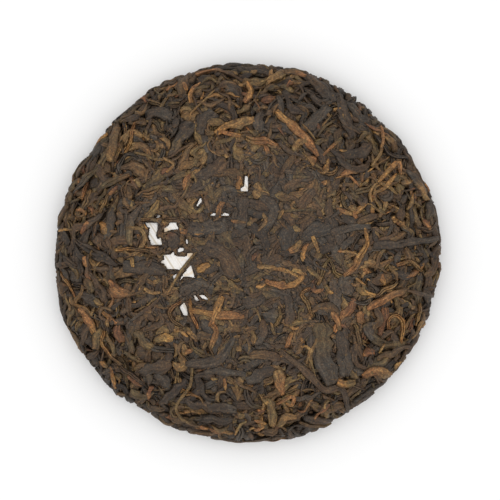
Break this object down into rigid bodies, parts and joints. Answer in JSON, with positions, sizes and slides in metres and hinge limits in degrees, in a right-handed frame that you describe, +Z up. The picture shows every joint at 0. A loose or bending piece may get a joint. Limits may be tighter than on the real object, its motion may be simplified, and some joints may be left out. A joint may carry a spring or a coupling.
{
  "type": "pressed tea cake",
  "caption": "Round, domed cake of compressed ripe pu erh tea leaves with a hollow in its back and a small paper ticket pressed in under the top leaves.",
  "frame": {"origin": "on the table, under the middle of the cake's box", "axes": "+Z up through the middle of the domed top; +X to the right and +Y away from the viewer as the cake is read from above"},
  "size_m": [0.2, 0.1956, 0.0248],
  "materials": {
    "tea_leaf": "dry rolled leaf, dark brown to near black, satin on the pressed faces",
    "ticket_paper": "matt thin paper, plain and unprinted"
  },
  "bodies": {
    "root": {"tea_cake": "tea_leaf", "paper_ticket": "ticket_paper"}
  },
  "joints": []
}
